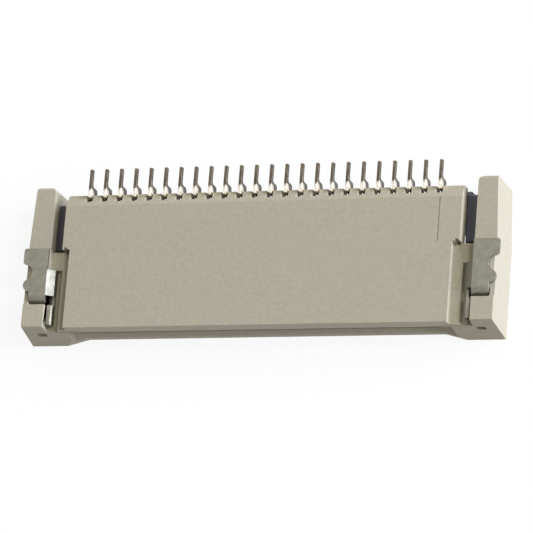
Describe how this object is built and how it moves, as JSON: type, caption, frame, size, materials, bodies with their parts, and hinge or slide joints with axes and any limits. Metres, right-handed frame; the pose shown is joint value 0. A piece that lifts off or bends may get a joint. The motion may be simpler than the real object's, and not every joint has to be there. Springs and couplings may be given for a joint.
{
  "type": "fpc connector",
  "caption": "Board connector for a flat flexible cable: side-entry mouth, a row of solder tails, end ears with solder tabs and a locking lever at the rear.",
  "frame": {"origin": "on the top face, under the middle of the whole part's box; the connector lies on its top face with the board side up", "axes": "+X along the row of contacts, +Y towards the solder tails, -Y out of the cable mouth, +Z out of the board side"},
  "size_m": [0.031, 0.0108, 0.0028],
  "materials": {
    "housing_resin": "fine matte moulded, light beige",
    "lever_resin": "satin moulded, black",
    "tab_tin": "matte tin plating, grey",
    "contact_tin": "tin plating over bronze, semi-bright"
  },
  "bodies": {
    "connector_body": {"housing": "housing_resin", "tab_left": "tab_tin", "tab_right": "tab_tin", "contact_1": "contact_tin", "contact_2": "contact_tin", "contact_3": "contact_tin", "contact_4": "contact_tin", "contact_5": "contact_tin", "contact_6": "contact_tin", "contact_7": "contact_tin", "contact_8": "contact_tin", "contact_9": "contact_tin", "contact_10": "contact_tin", "contact_11": "contact_tin", "contact_12": "contact_tin", "contact_13": "contact_tin", "contact_14": "contact_tin", "contact_15": "contact_tin", "contact_16": "contact_tin", "contact_17": "contact_tin", "contact_18": "contact_tin", "contact_19": "contact_tin", "contact_20": "contact_tin", "contact_21": "contact_tin", "contact_22": "contact_tin", "contact_23": "contact_tin", "contact_24": "contact_tin"},
    "locking_lever": {"lever": "lever_resin"}
  },
  "joints": [
    {"name": "lever_turn", "type": "hinge", "parent": "connector_body", "child": "locking_lever", "pos_m": [0, 0.00154, 0.0012], "axis": [-1, 0, 0], "range_deg": [0, 90]}
  ]
}
